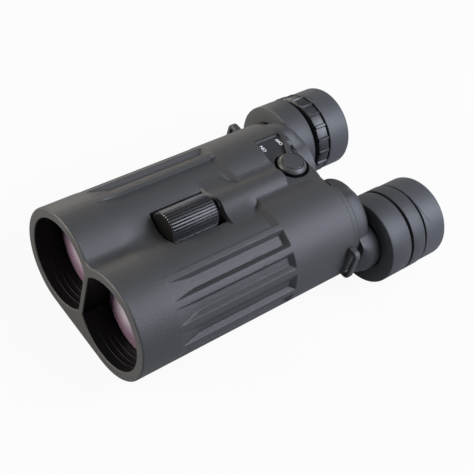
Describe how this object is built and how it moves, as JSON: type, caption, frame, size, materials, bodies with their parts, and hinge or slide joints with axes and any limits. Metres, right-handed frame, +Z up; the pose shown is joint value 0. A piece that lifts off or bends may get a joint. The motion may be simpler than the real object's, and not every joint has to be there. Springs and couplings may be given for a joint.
{
  "type": "image-stabilised binocular",
  "caption": "Compact image-stabilised binocular with armoured twin-tube body, turret eyepieces, focus wheel, rotary power switch and twist-up eyecups.",
  "frame": {"origin": "under the middle of the whole instrument, on the surface it rests on", "axes": "+Z up, objectives face -Y, eyepieces face +Y, +X is the user's left"},
  "size_m": [0.1159, 0.175, 0.0561],
  "materials": {
    "armour_rubber": "matte",
    "moulding": "matte",
    "hood_black": "matte",
    "coated_glass": "coated",
    "eye_glass": "coated",
    "prism_glass": "clear",
    "black_metal": "satin",
    "turned_metal": "satin",
    "steel": "satin",
    "brass": "satin",
    "knob_plastic": "matte",
    "cup_rubber": "matte",
    "board": "satin",
    "cell_sleeve": "gloss"
  },
  "bodies": {
    "body": {"front_bell": "armour_rubber", "armour": "armour_rubber", "chassis": "moulding", "rear_plate": "moulding", "bridge": "armour_rubber", "focus_bush": "brass", "switch_body": "moulding", "hood_left": "hood_black", "hood_right": "hood_black", "objective_left": "coated_glass", "objective_right": "coated_glass", "objective_cell_left": "black_metal", "objective_cell_right": "black_metal", "strap_lug_left": "black_metal", "strap_lug_right": "black_metal", "gimbal_mounts": "turned_metal", "battery": "cell_sleeve", "battery_contacts": "steel", "door_pin": "steel", "control_board": "board", "tripod_bush": "brass", "case_screws": "steel"},
    "focus": {"focus_wheel": "black_metal", "focus_shaft": "steel"},
    "carriage": {"focus_carriage": "turned_metal", "focus_lens_left": "prism_glass", "focus_lens_right": "prism_glass"},
    "switch": {"switch_knob": "knob_plastic", "switch_inlay": "knob_plastic"},
    "gimbal": {"gimbal_frame": "turned_metal"},
    "carrier": {"gimbal_carrier": "turned_metal", "erecting_prism_left": "prism_glass", "erecting_prism_right": "prism_glass"},
    "door": {"battery_door": "moulding"},
    "dioptre": {"dioptre_ring": "cup_rubber"},
    "turret_left": {"turret_left": "knob_plastic", "turret_retainer_left": "turned_metal", "rhomboid_left": "prism_glass", "eyepiece_housing_left": "cup_rubber", "eyepiece_barrel_left": "black_metal", "eye_lens_left": "eye_glass", "field_lens_left": "prism_glass", "eyepiece_ring": "cup_rubber"},
    "sleeve_left": {"eyecup_sleeve_left": "black_metal"},
    "cup_left": {"eyecup_left": "cup_rubber"},
    "turret_right": {"turret_right": "knob_plastic", "turret_retainer_right": "turned_metal", "rhomboid_right": "prism_glass", "eyepiece_housing_right": "cup_rubber", "eyepiece_barrel_right": "black_metal", "eye_lens_right": "eye_glass", "field_lens_right": "prism_glass"},
    "sleeve_right": {"eyecup_sleeve_right": "black_metal"},
    "cup_right": {"eyecup_right": "cup_rubber"}
  },
  "joints": [
    {"name": "focus_turn", "type": "hinge", "parent": "body", "child": "focus", "pos_m": [0, -0.0211, 0.048], "axis": [0, 1, 0], "range_deg": [-270, 270]},
    {"name": "focus_travel", "type": "slide", "parent": "body", "child": "carriage", "axis": [0, 1, 0], "range_m": [-0.002, 0.002]},
    {"name": "switch_turn", "type": "hinge", "parent": "body", "child": "switch", "pos_m": [-0.0032, 0.0281, 0.0262], "axis": [0, 0, 1], "range_deg": [0, 46]},
    {"name": "gimbal_pitch", "type": "hinge", "parent": "body", "child": "gimbal", "pos_m": [0, 0.0125, 0.0262], "axis": [1, 0, 0], "range_deg": [-3, 3], "stiffness_Nm_per_rad": 0.08},
    {"name": "gimbal_yaw", "type": "hinge", "parent": "gimbal", "child": "carrier", "pos_m": [0, 0.0125, 0.0262], "axis": [0, 0, 1], "range_deg": [-3, 3], "stiffness_Nm_per_rad": 0.08},
    {"name": "battery_door_hinge", "type": "hinge", "parent": "body", "child": "door", "pos_m": [0, -0.00635, 0.0016], "axis": [1, 0, 0], "range_deg": [0, 90]},
    {"name": "dioptre_turn", "type": "hinge", "parent": "turret_right", "child": "dioptre", "pos_m": [-0.0364, 0.0632, 0.02329], "axis": [0, 1, 0], "range_deg": [-40, 40]},
    {"name": "turret_left_turn", "type": "hinge", "parent": "body", "child": "turret_left", "pos_m": [0.0188, 0.0389, 0.0262], "axis": [0, 1, 0], "range_deg": [-9.4, 49.5]},
    {"name": "eyecup_left_twist", "type": "hinge", "parent": "turret_left", "child": "sleeve_left", "pos_m": [0.0364, 0.0728, 0.02329], "axis": [0, -1, 0], "range_deg": [0, 90]},
    {"name": "eyecup_left_rise", "type": "slide", "parent": "sleeve_left", "child": "cup_left", "axis": [0, 1, 0], "range_m": [0, 0.007]},
    {"name": "turret_right_turn", "type": "hinge", "parent": "body", "child": "turret_right", "pos_m": [-0.0188, 0.0389, 0.0262], "axis": [0, -1, 0], "range_deg": [-9.4, 49.5]},
    {"name": "eyecup_right_twist", "type": "hinge", "parent": "turret_right", "child": "sleeve_right", "pos_m": [-0.0364, 0.0728, 0.02329], "axis": [0, 1, 0], "range_deg": [0, 90]},
    {"name": "eyecup_right_rise", "type": "slide", "parent": "sleeve_right", "child": "cup_right", "axis": [0, 1, 0], "range_m": [0, 0.007]}
  ],
  "couplings": [
    {"joint": "focus_travel", "follows": "focus_turn", "m_per_rad": 0.0004},
    {"joint": "eyecup_left_rise", "follows": "eyecup_left_twist", "m_per_rad": 0.0044},
    {"joint": "eyecup_right_rise", "follows": "eyecup_right_twist", "m_per_rad": 0.0044}
  ]
}
